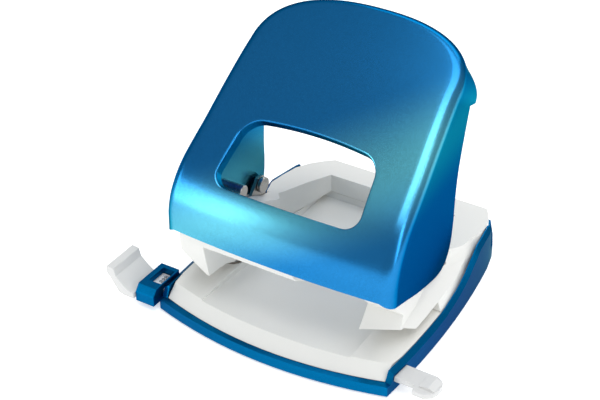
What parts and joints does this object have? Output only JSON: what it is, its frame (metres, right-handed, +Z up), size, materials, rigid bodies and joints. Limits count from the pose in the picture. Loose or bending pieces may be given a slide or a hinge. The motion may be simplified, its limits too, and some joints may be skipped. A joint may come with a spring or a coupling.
{
  "type": "hole punch",
  "caption": "Desk hole punch with an open loop handle, spring-returned punch pins, a sliding paper stop, a handle lock and a hinged chip tray.",
  "frame": {"origin": "on the desk plane, midway between the two punch pins, on the underside of the chip tray", "axes": "+X to the punch's right, +Y to its rear, +Z up"},
  "size_m": [0.1499, 0.128, 0.1167],
  "materials": {
    "blue_metal": "metallic pearl lacquer, glossy",
    "blue_plastic": "metallic blue moulding, glossy",
    "white_plastic": "satin off-white moulding",
    "grey_plastic": "satin light grey moulding",
    "steel": "turned and pressed steel",
    "rubber": "matt",
    "label": "printed strip"
  },
  "bodies": {
    "base": {"base_pan": "blue_plastic", "format_sleeve": "blue_plastic", "base_body": "white_plastic", "mechanism_cover": "white_plastic", "tray_hinge_pin": "steel", "punch_frame_left": "steel", "die_plate_left": "steel", "return_spring_left": "steel", "cover_screw_front_left": "steel", "cover_screw_rear_left": "steel", "foot_front_left": "rubber", "foot_rear_left": "rubber", "punch_frame_right": "steel", "die_plate_right": "steel", "return_spring_right": "steel", "cover_screw_front_right": "steel", "cover_screw_rear_right": "steel", "foot_front_right": "rubber", "foot_rear_right": "rubber"},
    "handle": {"handle_shell": "blue_metal", "pivot_pin_left": "steel", "pivot_pin_right": "steel", "press_pin_left": "steel", "press_pin_right": "steel"},
    "punch_left": {"punch_pin_left": "steel", "spring_clip_left": "steel"},
    "punch_right": {"punch_pin_right": "steel", "spring_clip_right": "steel"},
    "paper_stop": {"format_rail": "grey_plastic", "format_label": "label"},
    "handle_lock": {"lock_slide": "grey_plastic"},
    "tray": {"chip_tray": "blue_plastic"}
  },
  "joints": [
    {"name": "handle_hinge", "type": "hinge", "parent": "base", "child": "handle", "pos_m": [0, 0.025, 0.033], "axis": [1, 0, 0], "range_deg": [0, 16.5], "stiffness_Nm_per_rad": 2.3, "springref_deg": -17.19},
    {"name": "punch_left_slide", "type": "slide", "parent": "base", "child": "punch_left", "axis": [0, 0, -1], "range_m": [0, 0.0073], "deforming": ["return_spring_left"]},
    {"name": "punch_right_slide", "type": "slide", "parent": "base", "child": "punch_right", "axis": [0, 0, -1], "range_m": [0, 0.0073], "deforming": ["return_spring_right"]},
    {"name": "paper_stop_slide", "type": "slide", "parent": "base", "child": "paper_stop", "axis": [-1, 0, 0], "range_m": [0, 0.08]},
    {"name": "handle_lock_slide", "type": "slide", "parent": "base", "child": "handle_lock", "axis": [-1, 0, 0], "range_m": [0, 0.007]},
    {"name": "tray_hinge", "type": "hinge", "parent": "base", "child": "tray", "pos_m": [0, 0.0791, 0.0017], "axis": [1, 0, 0], "range_deg": [0, 70]}
  ],
  "couplings": [
    {"joint": "punch_left_slide", "follows": "handle_hinge", "m_per_rad": 0.0243},
    {"joint": "punch_right_slide", "follows": "handle_hinge", "m_per_rad": 0.0243}
  ]
}
